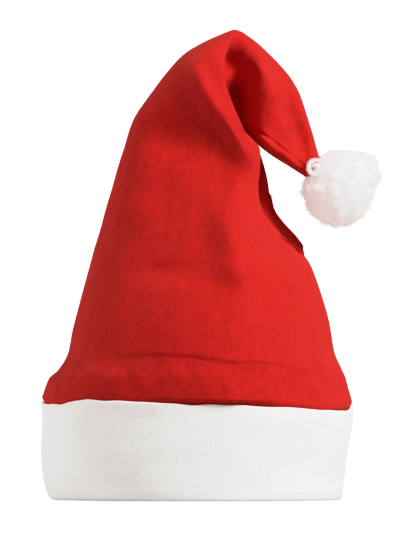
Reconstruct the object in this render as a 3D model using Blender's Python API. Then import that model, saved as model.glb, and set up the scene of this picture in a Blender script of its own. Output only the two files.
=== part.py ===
"""Santa hat: a red felt crown that folds over to the right, a doubled white band, a white pompom.

Metres, +Z up, the hat's front towards -Y. The crown is one skin of oval sections. They climb from
the band to the fold, turn over it and run down the hanging tip into the pompom.
"""

import math
from collections import namedtuple

import bmesh
import bpy
import numpy as np
from mathutils import Matrix, Vector

# Driving dimensions
BAND_WIDTH = 0.194
BAND_DEPTH = 0.186
BAND_HEIGHT = 0.060
BAND_PLY = 0.0022
BAND_INNER_HEIGHT = 0.051
BAND_FOLD_RADIUS = 0.0022
CROWN_RISE = 0.232
CROWN_LAP = 0.030
FELT = 0.0018
POMPOM_DIAMETER = 0.0485
POMPOM_SEAT = 0.009
POMPOM_OVERLAP = 0.0015
POMPOM_ANGLE = math.radians(-38)
LOCK_LENGTH = 0.0060
LOCK_WIDTH = 0.0130
GAP = 0.0003

# Mesh fineness and the oval's shape
COLUMNS = 48
COLUMN_CROWDING = 0.32
ROUNDNESS = 0.92
PLY_BEND = 0.8
HELD_ROWS = 3
SOCKET_ROWS = 8
LOCK_COUNT = 48
LOCK_SIDES = 5

# The band's outline. z: share of BAND_HEIGHT. left, right: shares of BAND_WIDTH. depth: share of BAND_DEPTH.
BandSection = namedtuple("BandSection", "z left right depth")
BAND_SECTIONS = [
    BandSection(0.00, -0.470, 0.462, 0.950),
    BandSection(0.10, -0.480, 0.470, 0.965),
    BandSection(0.25, -0.490, 0.475, 0.975),
    BandSection(0.50, -0.500, 0.486, 0.990),
    BandSection(PLY_BEND, -0.500, 0.498, 1.000),
    BandSection(1.06, -0.500, 0.500, 1.000),
]

# The band's top edge drops to the right and waves a little: turns round the hat, share of BAND_HEIGHT, phase.
EdgeWave = namedtuple("EdgeWave", "turns height phase")
EDGE_WAVES = [
    EdgeWave(1, 0.042, 0.35),
    EdgeWave(3, 0.012, 1.10),
    EdgeWave(5, 0.008, 0.20),
]

# The crown's sections above the band. x: shares of BAND_WIDTH, z: shares of CROWN_RISE above the band,
# front and back: shares of half of BAND_DEPTH. Each oval runs from its outer to its inner point.
Section = namedtuple("Section", "name outer_x outer_z inner_x inner_z front back")
SECTIONS = [
    Section("bulge", -0.496, 0.012, 0.496, 0.012, 0.990, 0.990),
    Section("shoulder", -0.474, 0.064, 0.476, 0.064, 0.955, 0.955),
    Section("flare", -0.440, 0.094, 0.458, 0.094, 0.922, 0.922),
    Section("waist", -0.412, 0.132, 0.440, 0.132, 0.888, 0.888),
    Section("lower", -0.398, 0.194, 0.427, 0.194, 0.848, 0.848),
    Section("body", -0.375, 0.274, 0.401, 0.274, 0.780, 0.780),
    Section("chest", -0.348, 0.354, 0.372, 0.354, 0.705, 0.705),
    Section("valley_end", -0.329, 0.408, 0.350, 0.408, 0.652, 0.652),
    Section("valley_low", -0.315, 0.448, 0.323, 0.448, 0.612, 0.612),
    Section("valley_mid", -0.296, 0.509, 0.272, 0.509, 0.552, 0.552),
    Section("valley_high", -0.276, 0.568, 0.232, 0.568, 0.494, 0.494),
    Section("neck", -0.260, 0.616, 0.216, 0.616, 0.467, 0.467),
    Section("bend_start", -0.236, 0.680, 0.195, 0.678, 0.428, 0.428),
    Section("bend_low", -0.209, 0.752, 0.178, 0.703, 0.408, 0.408),
    Section("bend_mid", -0.129, 0.854, 0.149, 0.731, 0.378, 0.378),
    Section("bend_high", -0.024, 0.943, 0.120, 0.755, 0.340, 0.340),
    Section("lip", 0.110, 0.997, 0.094, 0.777, 0.278, 0.278),
    Section("tuck", 0.123, 0.999, 0.081, 0.785, 0.167, 0.167),
    Section("tip_root", 0.139, 0.995, 0.097, 0.771, 0.144, 0.144),
    Section("tip_swell", 0.174, 0.973, 0.129, 0.745, 0.156, 0.156),
    Section("tip_full", 0.260, 0.902, 0.184, 0.700, 0.222, 0.222),
    Section("tip_mid", 0.327, 0.828, 0.235, 0.663, 0.222, 0.222),
    Section("tip_low", 0.366, 0.739, 0.289, 0.632, 0.167, 0.167),
    Section("tip_end", 0.393, 0.662, 0.347, 0.599, 0.106, 0.106),
]

# Where the folds cross those sections. x, z and y are shares as above, y with the front negative.
# lip: the front edge of the fold. groove: the bottom of the valley. back: the valley's rear edge.
FoldPoint = namedtuple("FoldPoint", "section x z y")
FOLDS = {
    "lip": [
        FoldPoint("valley_end", 0.322, 0.408, -0.200),
        FoldPoint("valley_low", 0.284, 0.447, -0.278),
        FoldPoint("valley_mid", 0.212, 0.509, -0.325),
        FoldPoint("valley_high", 0.195, 0.568, -0.306),
        FoldPoint("neck", 0.196, 0.616, -0.300),
        FoldPoint("bend_start", 0.187, 0.672, -0.311),
        FoldPoint("bend_low", 0.180, 0.681, -0.328),
        FoldPoint("bend_mid", 0.176, 0.687, -0.344),
        FoldPoint("bend_high", 0.171, 0.693, -0.358),
        FoldPoint("lip", 0.165, 0.702, -0.356),
        FoldPoint("tuck", 0.123, 0.745, -0.189),
    ],
    "groove": [
        FoldPoint("valley_end", 0.346, 0.408, -0.060),
        FoldPoint("valley_low", 0.288, 0.448, -0.100),
        FoldPoint("valley_mid", 0.204, 0.509, -0.060),
        FoldPoint("valley_high", 0.165, 0.568, -0.022),
        FoldPoint("neck", 0.158, 0.614, -0.011),
        FoldPoint("bend_start", 0.152, 0.670, 0.000),
        FoldPoint("bend_low", 0.136, 0.695, 0.000),
        FoldPoint("bend_mid", 0.117, 0.723, 0.000),
        FoldPoint("bend_high", 0.099, 0.747, 0.000),
        FoldPoint("lip", 0.083, 0.771, 0.000),
        FoldPoint("tuck", 0.078, 0.782, 0.000),
    ],
    "back": [
        FoldPoint("valley_low", 0.321, 0.448, 0.067),
        FoldPoint("valley_mid", 0.271, 0.509, 0.125),
        FoldPoint("valley_high", 0.232, 0.568, 0.144),
        FoldPoint("neck", 0.216, 0.616, 0.156),
        FoldPoint("bend_start", 0.193, 0.675, 0.200),
        FoldPoint("bend_low", 0.181, 0.686, 0.233),
        FoldPoint("bend_mid", 0.168, 0.695, 0.267),
        FoldPoint("bend_high", 0.158, 0.704, 0.281),
        FoldPoint("lip", 0.149, 0.711, 0.278),
        FoldPoint("tuck", 0.123, 0.745, 0.156),
    ],
    "front_bow": [
        FoldPoint("bend_high", 0.042, 0.850, -0.305),
        FoldPoint("lip", 0.089, 0.873, -0.300),
        FoldPoint("tuck", 0.075, 0.884, -0.111),
        FoldPoint("tip_root", 0.123, 0.889, -0.100),
        FoldPoint("tip_swell", 0.161, 0.868, -0.128),
    ],
    "back_bow": [
        FoldPoint("bend_high", 0.035, 0.850, 0.275),
        FoldPoint("lip", 0.081, 0.873, 0.256),
        FoldPoint("tuck", 0.085, 0.884, 0.122),
        FoldPoint("tip_root", 0.123, 0.889, 0.117),
        FoldPoint("tip_swell", 0.158, 0.868, 0.144),
    ],
}

# The angle round the section where each fold lies, in degrees from the outer point by way of the front,
# and how far it pulls the felt on either side.
FoldReach = namedtuple("FoldReach", "angle before after")
FOLD_REACH = {
    "lip": FoldReach(148, 34, 26),
    "groove": FoldReach(180, 22, 22),
    "back": FoldReach(212, 26, 34),
    "front_bow": FoldReach(88, 60, 55),
    "back_bow": FoldReach(272, 55, 60),
}

# Dents and ridges pressed into the felt along straight lines, front and back.
# x, reach and lift: shares of BAND_WIDTH. z: share of CROWN_RISE. A negative lift is a dent.
Dent = namedtuple("Dent", "side x1 z1 x2 z2 reach lift")
FRONT, BACK, ALL_ROUND = 1, -1, 0
DENTS = [
    Dent(ALL_ROUND, -0.440, 0.120, 0.470, 0.096, 0.015, -0.011),
    Dent(FRONT, -0.185, 0.745, 0.150, 0.662, 0.040, -0.024),
    Dent(FRONT, -0.020, 0.905, 0.165, 0.690, 0.034, 0.017),
    Dent(FRONT, 0.150, 0.600, 0.125, 0.450, 0.034, 0.011),
    Dent(FRONT, 0.175, 0.500, 0.165, 0.430, 0.018, -0.007),
    Dent(FRONT, 0.025, 0.570, -0.005, 0.190, 0.055, -0.009),
    Dent(FRONT, 0.145, 0.740, 0.330, 0.620, 0.012, -0.005),
    Dent(BACK, -0.150, 0.760, 0.140, 0.680, 0.045, -0.014),
    Dent(BACK, 0.060, 0.520, 0.020, 0.250, 0.060, -0.008),
]

HALF_DEPTH = BAND_DEPTH / 2


def clear_scene():
    for item in list(bpy.data.objects):
        bpy.data.objects.remove(item, do_unlink=True)


def fabric(name, colour, roughness):
    material = bpy.data.materials.new(name)
    material.use_nodes = True
    shader = material.node_tree.nodes["Principled BSDF"]
    shader.inputs["Base Color"].default_value = (*colour, 1.0)
    shader.inputs["Roughness"].default_value = roughness
    shader.inputs["Metallic"].default_value = 0.0
    return material


def mesh_object(name, points, faces, material):
    mesh = bpy.data.meshes.new(name)
    mesh.from_pydata([tuple(point) for point in points], [], faces)
    mesh.materials.append(material)
    shape = bmesh.new()
    shape.from_mesh(mesh)
    bmesh.ops.recalc_face_normals(shape, faces=shape.faces[:])
    shape.to_mesh(mesh)
    shape.free()
    mesh.shade_smooth()
    item = bpy.data.objects.new(name, mesh)
    bpy.context.collection.objects.link(item)
    return item


def column_angles():
    """Angles round a section, closer together on the inner side, where the folds are."""
    steps = np.arange(COLUMNS) / COLUMNS * 2 * math.pi
    return steps + COLUMN_CROWDING * np.sin(steps)


def between(values, places):
    """Reads a table of values at fractional rows, as a smooth curve that never overshoots a row."""
    values = np.asarray(values, float)
    steps = np.diff(values, axis=0)
    slopes = np.zeros_like(values)
    before, after = steps[:-1], steps[1:]
    total = np.where(before * after > 0, before + after, 1.0)
    slopes[1:-1] = np.where(before * after > 0, 2 * before * after / total, 0.0)
    slopes[0], slopes[-1] = steps[0], steps[-1]
    row = np.clip(np.floor(places).astype(int), 0, len(values) - 2)
    t = (places - row).reshape(places.shape + (1,) * (values.ndim - 1))
    start = (2 * t**3 - 3 * t**2 + 1) * values[row] + (t**3 - 2 * t**2 + t) * slopes[row]
    end = (3 * t**2 - 2 * t**3) * values[row + 1] + (t**3 - t**2) * slopes[row + 1]
    return start + end


def oval(outer, inner, front, back, angles):
    """Points of one section: angle 0 is its outer point, a quarter turn is its front."""
    across = ((1 - np.cos(angles)) / 2)[:, None]
    sine = np.sin(angles)
    bulge = np.sign(sine) * np.abs(sine) ** ROUNDNESS
    depth = np.where(bulge > 0, front, back) * -bulge
    points = outer + (inner - outer) * across
    points[:, 1] += depth
    return points


def edge_height(angles):
    """Height of the band's top edge round the hat."""
    height = np.full(len(angles), BAND_HEIGHT)
    for wave in EDGE_WAVES:
        height += BAND_HEIGHT * wave.height * np.cos(wave.turns * angles - wave.phase)
    return height


def band_points(heights, inset, angles):
    """Points on the band's outer face, moved inwards by inset, at one height for each angle."""
    table_z = [section.z * BAND_HEIGHT for section in BAND_SECTIONS]
    left = np.interp(heights, table_z, [section.left * BAND_WIDTH for section in BAND_SECTIONS]) + inset
    right = np.interp(heights, table_z, [section.right * BAND_WIDTH for section in BAND_SECTIONS]) - inset
    depth = np.interp(heights, table_z, [section.depth * HALF_DEPTH for section in BAND_SECTIONS]) - inset
    sine = np.sin(angles)
    bulge = np.sign(sine) * np.abs(sine) ** ROUNDNESS
    x = left + (right - left) * (1 - np.cos(angles)) / 2
    return np.stack([x, -depth * bulge, heights], axis=1)


def share_point(x, z, y=0.0):
    return np.array([x * BAND_WIDTH, y * HALF_DEPTH, BAND_HEIGHT + z * CROWN_RISE])


def fold_shifts():
    """How far each fold moves the felt at each section, from the plain oval to the fold's own point."""
    names = [section.name for section in SECTIONS]
    shifts = {}
    for fold, points in FOLDS.items():
        shift = np.zeros((len(SECTIONS), 3))
        angle = np.array([math.radians(FOLD_REACH[fold].angle)])
        for point in points:
            row = names.index(point.section)
            section = SECTIONS[row]
            outer = share_point(section.outer_x, section.outer_z)
            inner = share_point(section.inner_x, section.inner_z)
            front = section.front * HALF_DEPTH
            back = section.back * HALF_DEPTH
            plain = oval(outer, inner, front, back, angle)[0]
            shift[row] = share_point(point.x, point.z, point.y) - plain
        shifts[fold] = shift
    return shifts


def fold_pull(fold, angles):
    """Share of a fold's shift that the felt takes at each angle."""
    reach = FOLD_REACH[fold]
    away = angles - math.radians(reach.angle)
    width = np.where(away < 0, math.radians(reach.before), math.radians(reach.after))
    share = np.clip(np.abs(away) / width, 0, 1)
    return np.cos(share * math.pi / 2) ** 2


def grid_normals(grid):
    """Outward directions on a grid of rows that close on themselves."""
    around = np.roll(grid, -1, axis=1) - np.roll(grid, 1, axis=1)
    along = np.gradient(grid, axis=0)
    normals = np.cross(along, around)
    normals /= np.linalg.norm(normals, axis=2, keepdims=True) + 1e-12
    centre = grid[0].mean(axis=0)
    outward = np.einsum("ij,ij->i", normals[0], grid[0] - centre).mean()
    return normals if outward > 0 else -normals


def press_dents(grid, angles):
    """Moves the grid along its normals for each line of the dents table."""
    normals = grid_normals(grid)
    facing = np.sin(angles)[None, :]
    lift = np.zeros(grid.shape[:2])
    for dent in DENTS:
        start = share_point(dent.x1, dent.z1)
        line = share_point(dent.x2, dent.z2) - start
        away = grid - start
        along = (away[..., 0] * line[0] + away[..., 2] * line[2]) / (line @ line)
        along = np.clip(along, 0, 1)
        away = away - along[..., None] * line
        distance = np.hypot(away[..., 0], away[..., 2])
        amount = np.exp(-((distance / (dent.reach * BAND_WIDTH)) ** 2))
        if dent.side != ALL_ROUND:
            amount = amount * np.clip(dent.side * facing, 0, 1) ** 0.5
        lift += amount * dent.lift * BAND_WIDTH
    return grid + normals * lift[..., None]


def crown_skin(places, angles):
    """Outer skin of the crown above the band, at fractional rows of the sections table."""
    outer = np.array([share_point(section.outer_x, section.outer_z) for section in SECTIONS])
    inner = np.array([share_point(section.inner_x, section.inner_z) for section in SECTIONS])
    front = np.array([section.front * HALF_DEPTH for section in SECTIONS])
    back = np.array([section.back * HALF_DEPTH for section in SECTIONS])
    outer, inner = between(outer, places), between(inner, places)
    front, back = between(front, places), between(back, places)
    shifts = {fold: between(shift, places) for fold, shift in fold_shifts().items()}
    rows = []
    for row in range(len(places)):
        points = oval(outer[row], inner[row], front[row], back[row], angles)
        for fold, shift in shifts.items():
            points = points + fold_pull(fold, angles)[:, None] * shift[row]
        rows.append(points)
    return np.array(rows)


def held_rows(inset):
    """The rows that the band's plies hold: the hem, where the ply bends, and just over the band's edge."""
    angles = column_angles()
    edge = edge_height(angles)
    hem_height = np.full(len(angles), BAND_HEIGHT - CROWN_LAP)
    heights = (hem_height, edge * PLY_BEND, edge + GAP)
    return np.array([band_points(height, inset, angles) for height in heights])


def crown_grid():
    """Every row of the crown's outer skin, from its hem between the band's plies to its tip."""
    angles = column_angles()
    edge = edge_height(angles)
    places = np.concatenate([[0.0], np.arange(0.5, len(SECTIONS) - 0.75, 0.5)])
    upper = press_dents(crown_skin(places, angles), angles)
    follow = np.clip(1 - places / 2, 0, 1)
    upper[..., 2] += follow[:, None] * (edge - BAND_HEIGHT)[None, :]
    step = BAND_PLY / 2
    turned_out = band_points(edge + GAP + step, step, angles)
    return np.concatenate([held_rows(BAND_PLY + GAP), [turned_out], upper])


def pompom_heading():
    """From the crown's end towards the pompom's middle."""
    return np.array([math.cos(POMPOM_ANGLE), 0.0, math.sin(POMPOM_ANGLE)])


def tip_cap(grid):
    """Two small rings that round the crown's end off, inside the pompom."""
    last = grid[-1]
    centre = last.mean(axis=0)
    rings = []
    for reach, width in ((0.6, 0.80), (1.0, 0.40)):
        rings.append(centre + (last - centre) * width + pompom_heading() * POMPOM_SEAT * reach)
    return np.concatenate([grid, np.array(rings)])


def tube_faces(rows, columns, first=0):
    faces = []
    for row in range(rows - 1):
        for column in range(columns):
            beside = (column + 1) % columns
            low = first + row * columns
            faces.append((low + column, low + beside, low + columns + beside, low + columns + column))
    return faces


def smooth_rows(normals):
    """Evens the directions out, so that the inner skin doesn't cross itself at the sharp folds."""
    for _ in range(2):
        around = np.roll(normals, 1, axis=1) + np.roll(normals, -1, axis=1)
        padded = np.concatenate([normals[:1], normals, normals[-1:]])
        normals = 2 * normals + around + padded[:-2] + padded[2:]
        normals /= np.linalg.norm(normals, axis=2, keepdims=True)
    return normals


def build_crown(material):
    outer = tip_cap(crown_grid())
    lining = (outer - smooth_rows(grid_normals(outer)) * FELT)[HELD_ROWS + 1 : -3 : 2]
    inner = np.concatenate([held_rows(BAND_PLY + GAP + FELT), lining])
    columns = outer.shape[1]
    points = np.concatenate([outer.reshape(-1, 3), inner.reshape(-1, 3)])
    faces = tube_faces(len(outer), columns)
    inner_first = len(outer) * columns
    faces += tube_faces(len(inner), columns, inner_first)
    faces.append(tuple(range(inner_first - columns, inner_first)))
    faces.append(tuple(range(len(points) - columns, len(points))))
    for column in range(columns):
        beside = (column + 1) % columns
        faces.append((column, beside, inner_first + beside, inner_first + column))
    return mesh_object("crown", points, faces, material)


def build_band(material):
    """The doubled strip: an outer ply, a rounded fold under it, and an inner ply behind the crown's hem."""
    angles = column_angles()
    edge = edge_height(angles)
    thickness = 2 * BAND_PLY + FELT + 2 * GAP
    slot_out = BAND_PLY
    slot_in = thickness - BAND_PLY
    slot_floor = BAND_HEIGHT - CROWN_LAP - GAP
    soft = BAND_PLY / 3
    profile = []
    for share in (0.0, 0.35, 0.7, 1.0):
        turn = share * math.pi / 2
        inset = BAND_FOLD_RADIUS * (1 - math.sin(turn))
        height = BAND_FOLD_RADIUS * (1 - math.cos(turn))
        profile.append((inset, np.full(len(angles), height)))
    for share in (0.25, 0.5, PLY_BEND):
        profile.append((0.0, edge * share))
    profile.append((0.0, edge - soft))
    profile.append((soft, edge))
    profile.append((slot_out, edge))
    profile.append((slot_out, edge * PLY_BEND))
    profile.append((slot_out, np.full(len(angles), slot_floor)))
    profile.append((slot_in, np.full(len(angles), slot_floor)))
    profile.append((slot_in, np.full(len(angles), BAND_INNER_HEIGHT)))
    profile.append((thickness, np.full(len(angles), BAND_INNER_HEIGHT)))
    profile.append((thickness, np.full(len(angles), BAND_FOLD_RADIUS)))
    profile.append((thickness - BAND_FOLD_RADIUS, np.zeros(len(angles))))
    rows = [band_points(height, inset, angles) for inset, height in profile]
    columns = len(angles)
    points = np.concatenate(rows)
    faces = tube_faces(len(rows), columns)
    top = (len(rows) - 1) * columns
    for column in range(columns):
        beside = (column + 1) % columns
        faces.append((top + column, top + beside, beside, column))
    return mesh_object("band", points, faces, material)


def pompom_centre():
    """The crown's last row lies just inside the ball."""
    end = crown_grid()[-1].mean(axis=0)
    return Vector(end + pompom_heading() * (POMPOM_DIAMETER / 2 - POMPOM_OVERLAP))


def lock_directions():
    """Even directions over a ball, from a spiral that steps by the golden angle."""
    golden = math.pi * (3 - math.sqrt(5))
    for index in range(LOCK_COUNT):
        z = 1 - 2 * (index + 0.5) / LOCK_COUNT
        radius = math.sqrt(1 - z * z)
        yield Vector((math.cos(index * golden) * radius, math.sin(index * golden) * radius, z))


def build_pompom(material):
    """A ball with blunt locks fused all over it, and a socket that the crown's tip fits into."""
    centre = pompom_centre()
    core_radius = POMPOM_DIAMETER / 2 - LOCK_LENGTH * 0.55
    shape = bmesh.new()
    bmesh.ops.create_icosphere(shape, subdivisions=3, radius=core_radius)
    bmesh.ops.translate(shape, verts=shape.verts[:], vec=centre)
    core_mesh = bpy.data.meshes.new("pompom")
    shape.to_mesh(core_mesh)
    shape.free()
    core_mesh.materials.append(material)
    pompom = bpy.data.objects.new("pompom", core_mesh)
    bpy.context.collection.objects.link(pompom)

    chance = np.random.default_rng(7)
    locks = bmesh.new()
    for direction in lock_directions():
        lean = Vector(chance.normal(0, 0.22, 3))
        heading = (direction + lean).normalized()
        length = LOCK_LENGTH * chance.uniform(0.75, 1.2)
        root = centre + direction * (core_radius - LOCK_LENGTH * 0.35)
        turn = heading.to_track_quat("Z", "Y").to_matrix().to_4x4()
        bmesh.ops.create_cone(
            locks,
            cap_ends=True,
            segments=LOCK_SIDES,
            radius1=LOCK_WIDTH / 2,
            radius2=LOCK_WIDTH / 5,
            depth=length,
            matrix=Matrix.Translation(root + heading * length / 2) @ turn,
        )
    lock_mesh = bpy.data.meshes.new("locks")
    locks.to_mesh(lock_mesh)
    locks.free()
    lock_item = bpy.data.objects.new("locks", lock_mesh)
    bpy.context.collection.objects.link(lock_item)

    socket = tip_cap(crown_grid())[-SOCKET_ROWS:]
    socket = socket + grid_normals(socket) * GAP
    columns = socket.shape[1]
    faces = tube_faces(len(socket), columns)
    faces.append(tuple(range(columns)))
    faces.append(tuple(range((len(socket) - 1) * columns, len(socket) * columns)))
    cutter = mesh_object("socket", socket.reshape(-1, 3), faces, material)

    fuse = pompom.modifiers.new("fuse", "BOOLEAN")
    fuse.operation = "UNION"
    fuse.use_self = True
    fuse.object = lock_item
    bore = pompom.modifiers.new("bore", "BOOLEAN")
    bore.operation = "DIFFERENCE"
    bore.object = cutter
    depsgraph = bpy.context.evaluated_depsgraph_get()
    fused = bpy.data.meshes.new_from_object(pompom.evaluated_get(depsgraph))
    pompom.modifiers.clear()
    pompom.data = fused
    fused.name = "pompom"
    fused.shade_smooth()
    bpy.data.objects.remove(lock_item, do_unlink=True)
    bpy.data.objects.remove(cutter, do_unlink=True)
    return pompom


def centre_on_origin(items):
    """Puts the middle of the hat's box over the origin, with its rim at height 0."""
    corners = [vertex.co for item in items for vertex in item.data.vertices]
    low = Vector([min(corner[axis] for corner in corners) for axis in range(3)])
    high = Vector([max(corner[axis] for corner in corners) for axis in range(3)])
    shift = Vector((-(low.x + high.x) / 2, -(low.y + high.y) / 2, -low.z))
    for item in items:
        item.data.transform(Matrix.Translation(shift))


def build():
    clear_scene()
    red_felt = fabric("red_felt", (0.55, 0.022, 0.016), 0.92)
    white_felt = fabric("white_felt", (0.80, 0.78, 0.75), 0.90)
    white_fibre = fabric("white_fibre", (0.86, 0.84, 0.81), 0.95)
    items = [build_crown(red_felt), build_band(white_felt), build_pompom(white_fibre)]
    centre_on_origin(items)


build()
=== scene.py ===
import math
from collections import namedtuple

import bpy
import numpy as np
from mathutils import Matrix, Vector
from mathutils.bvhtree import BVHTree


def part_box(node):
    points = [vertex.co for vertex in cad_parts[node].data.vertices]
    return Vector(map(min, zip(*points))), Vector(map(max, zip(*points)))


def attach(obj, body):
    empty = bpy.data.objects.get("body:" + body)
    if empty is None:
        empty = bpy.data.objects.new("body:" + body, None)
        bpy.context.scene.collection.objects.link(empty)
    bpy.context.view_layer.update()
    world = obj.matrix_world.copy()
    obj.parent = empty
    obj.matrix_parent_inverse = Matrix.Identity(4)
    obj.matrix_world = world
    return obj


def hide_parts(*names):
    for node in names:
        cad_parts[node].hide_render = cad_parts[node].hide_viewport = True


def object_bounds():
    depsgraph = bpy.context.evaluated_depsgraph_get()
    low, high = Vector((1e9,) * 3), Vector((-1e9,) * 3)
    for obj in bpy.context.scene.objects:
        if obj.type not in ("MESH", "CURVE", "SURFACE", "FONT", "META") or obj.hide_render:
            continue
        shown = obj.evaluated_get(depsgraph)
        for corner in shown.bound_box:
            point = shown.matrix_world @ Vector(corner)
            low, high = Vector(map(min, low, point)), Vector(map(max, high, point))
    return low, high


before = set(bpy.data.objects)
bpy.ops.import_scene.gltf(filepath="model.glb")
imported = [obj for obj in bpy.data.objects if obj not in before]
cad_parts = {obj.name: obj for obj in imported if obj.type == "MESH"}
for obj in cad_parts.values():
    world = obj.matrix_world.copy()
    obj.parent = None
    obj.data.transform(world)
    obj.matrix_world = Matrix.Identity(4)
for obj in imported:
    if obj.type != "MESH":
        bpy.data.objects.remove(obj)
cad_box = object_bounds()

# The white studio table and the lights. The hat stands on a pale sheet, with one large soft lamp to its
# right and in front, a weaker one to its left, and white walls all round. Table and walls look brighter
# to the camera than the light that they give, so that the ground is white and the hat keeps its shade.
hat_low, hat_high = cad_box
hat_middle = (hat_low + hat_high) / 2
FLOOR_SIDE = 9.0
TABLE_COLOUR = (0.42, 0.42, 0.42)
TABLE_SEEN = 1.9
WALL_LIGHT = 0.30
WALL_SEEN = 2.1


def from_hat(azimuth, elevation, distance):
    """A place round the hat: azimuth 0 is in front, 90 is to the right."""
    turn, rise = math.radians(azimuth), math.radians(elevation)
    away = Vector((math.sin(turn) * math.cos(rise), -math.cos(turn) * math.cos(rise), math.sin(rise)))
    return hat_middle + away * distance


def add_lamp(name, azimuth, elevation, distance, size, power):
    """A round soft lamp that faces the hat."""
    lamp = bpy.data.lights.new(name, "AREA")
    lamp.shape = "DISK"
    lamp.size = size
    lamp.energy = power
    item = bpy.data.objects.new(name, lamp)
    bpy.context.collection.objects.link(item)
    item.location = from_hat(azimuth, elevation, distance)
    item.rotation_euler = (hat_middle - item.location).to_track_quat("-Z", "Y").to_euler()


def new_material(name):
    """An empty node material with its shader and a short way to add and join nodes."""
    material = bpy.data.materials.new(name)
    material.use_nodes = True
    nodes = material.node_tree.nodes
    links = material.node_tree.links
    shader = nodes["Principled BSDF"]

    def add(kind, **values):
        node = nodes.new(kind)
        for key, value in values.items():
            if hasattr(node, key):
                setattr(node, key, value)
            else:
                node.inputs[key.replace("_", " ")].default_value = value
        return node

    return material, shader, add, links


floor_mesh = bpy.data.meshes.new("table")
half = FLOOR_SIDE / 2
corners = [(-half, -half, 0), (half, -half, 0), (half, half, 0), (-half, half, 0)]
floor_mesh.from_pydata(corners, [], [(0, 1, 2, 3)])
floor = bpy.data.objects.new("table", floor_mesh)
bpy.context.collection.objects.link(floor)
floor.location.z = -0.0002
paper, shader, add, links = new_material("white_paper")
shader.inputs["Base Color"].default_value = (*TABLE_COLOUR, 1)
shader.inputs["Roughness"].default_value = 0.9
shader.inputs["Specular IOR Level"].default_value = 0.1
shader.inputs["Emission Color"].default_value = (1, 1, 1, 1)
seen_directly = add("ShaderNodeLightPath")
glow = add("ShaderNodeMath", operation="MULTIPLY")
glow.inputs[1].default_value = TABLE_SEEN
links.new(seen_directly.outputs["Is Camera Ray"], glow.inputs[0])
links.new(glow.outputs["Value"], shader.inputs["Emission Strength"])
floor_mesh.materials.append(paper)

add_lamp("key", azimuth=56, elevation=40, distance=1.8, size=0.6, power=55.0)
add_lamp("fill", azimuth=-100, elevation=0, distance=1.5, size=0.8, power=20.0)

world = bpy.data.worlds.new("white_walls")
bpy.context.scene.world = world
world.use_nodes = True
world_nodes = world.node_tree.nodes
world_links = world.node_tree.links
walls = world_nodes["Background"]
walls.inputs["Color"].default_value = (1, 1, 1, 1)
seen = world_nodes.new("ShaderNodeLightPath")
strength = world_nodes.new("ShaderNodeMapRange")
strength.inputs["To Min"].default_value = WALL_LIGHT
strength.inputs["To Max"].default_value = WALL_SEEN
world_links.new(seen.outputs["Is Camera Ray"], strength.inputs["Value"])
world_links.new(strength.outputs["Result"], walls.inputs["Strength"])

# The camera stands at the photograph's angle, level with the band and far off, with a long lens.
# The hat's middle is just left of the picture's middle, and the frame is a little taller than the hat.
CAMERA_DISTANCE = 2.45
CAMERA_HEIGHT = 0.034
FRAME_HEIGHT = 0.3348
FRAME_MIDDLE = Vector((-0.0005, 0.0, 0.1423))
camera_data = bpy.data.cameras.new("camera")
camera_data.sensor_width = 36
camera_data.lens = 36 * CAMERA_DISTANCE / FRAME_HEIGHT
camera_data.clip_end = 20
camera = bpy.data.objects.new("camera", camera_data)
bpy.context.collection.objects.link(camera)
camera.location = (FRAME_MIDDLE.x, -CAMERA_DISTANCE, CAMERA_HEIGHT)
camera.rotation_euler = (FRAME_MIDDLE - camera.location).to_track_quat("-Z", "Y").to_euler()
bpy.context.scene.camera = camera

# The film keeps tones up to KEPT_TONE as they are and rolls the brighter ones off, so that white felt
# still shows its shape against the white walls.
KEPT_TONE = 0.62
BRIGHTEST = 8.0
Tone = namedtuple("Tone", "light shown")
rolled_off = [
    Tone(0.80, 0.755), Tone(1.00, 0.810), Tone(1.40, 0.880), Tone(2.00, 1.0), Tone(BRIGHTEST, 1.05),
]
film = bpy.context.scene.view_settings
film.view_transform = "Standard"
film.use_curve_mapping = True
film.curve_mapping.clip_max_x = BRIGHTEST
film.curve_mapping.clip_max_y = BRIGHTEST
whole = film.curve_mapping.curves[3]
whole.points[1].location = (KEPT_TONE, KEPT_TONE)
for tone in rolled_off:
    whole.points.new(tone.light, tone.shown)
film.curve_mapping.update()

# The crown is one piece of red felt, sewn up its inner side into a long cone. It stands up from the
# band, creases at the waist, folds over at the top and hangs down beside itself to the pompom.
band_low, band_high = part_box("band")
crown_low, crown_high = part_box("crown")
hat_width = band_high.x - band_low.x
half_depth = (band_high.y - band_low.y) / 2
crown_middle = band_low.x + hat_width / 2
band_height = 0.060
top_share = 0.999
crown_rise = (crown_high.z - band_height) / top_share
hem_height = crown_low.z

# Thickness of one ply of the band, of the crown's felt and of the play between them, in metres.
ply = 0.0022
felt = 0.0018
gap = 0.0003

# Below 1, an oval has a fuller front and back.
roundness = 0.92

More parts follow.
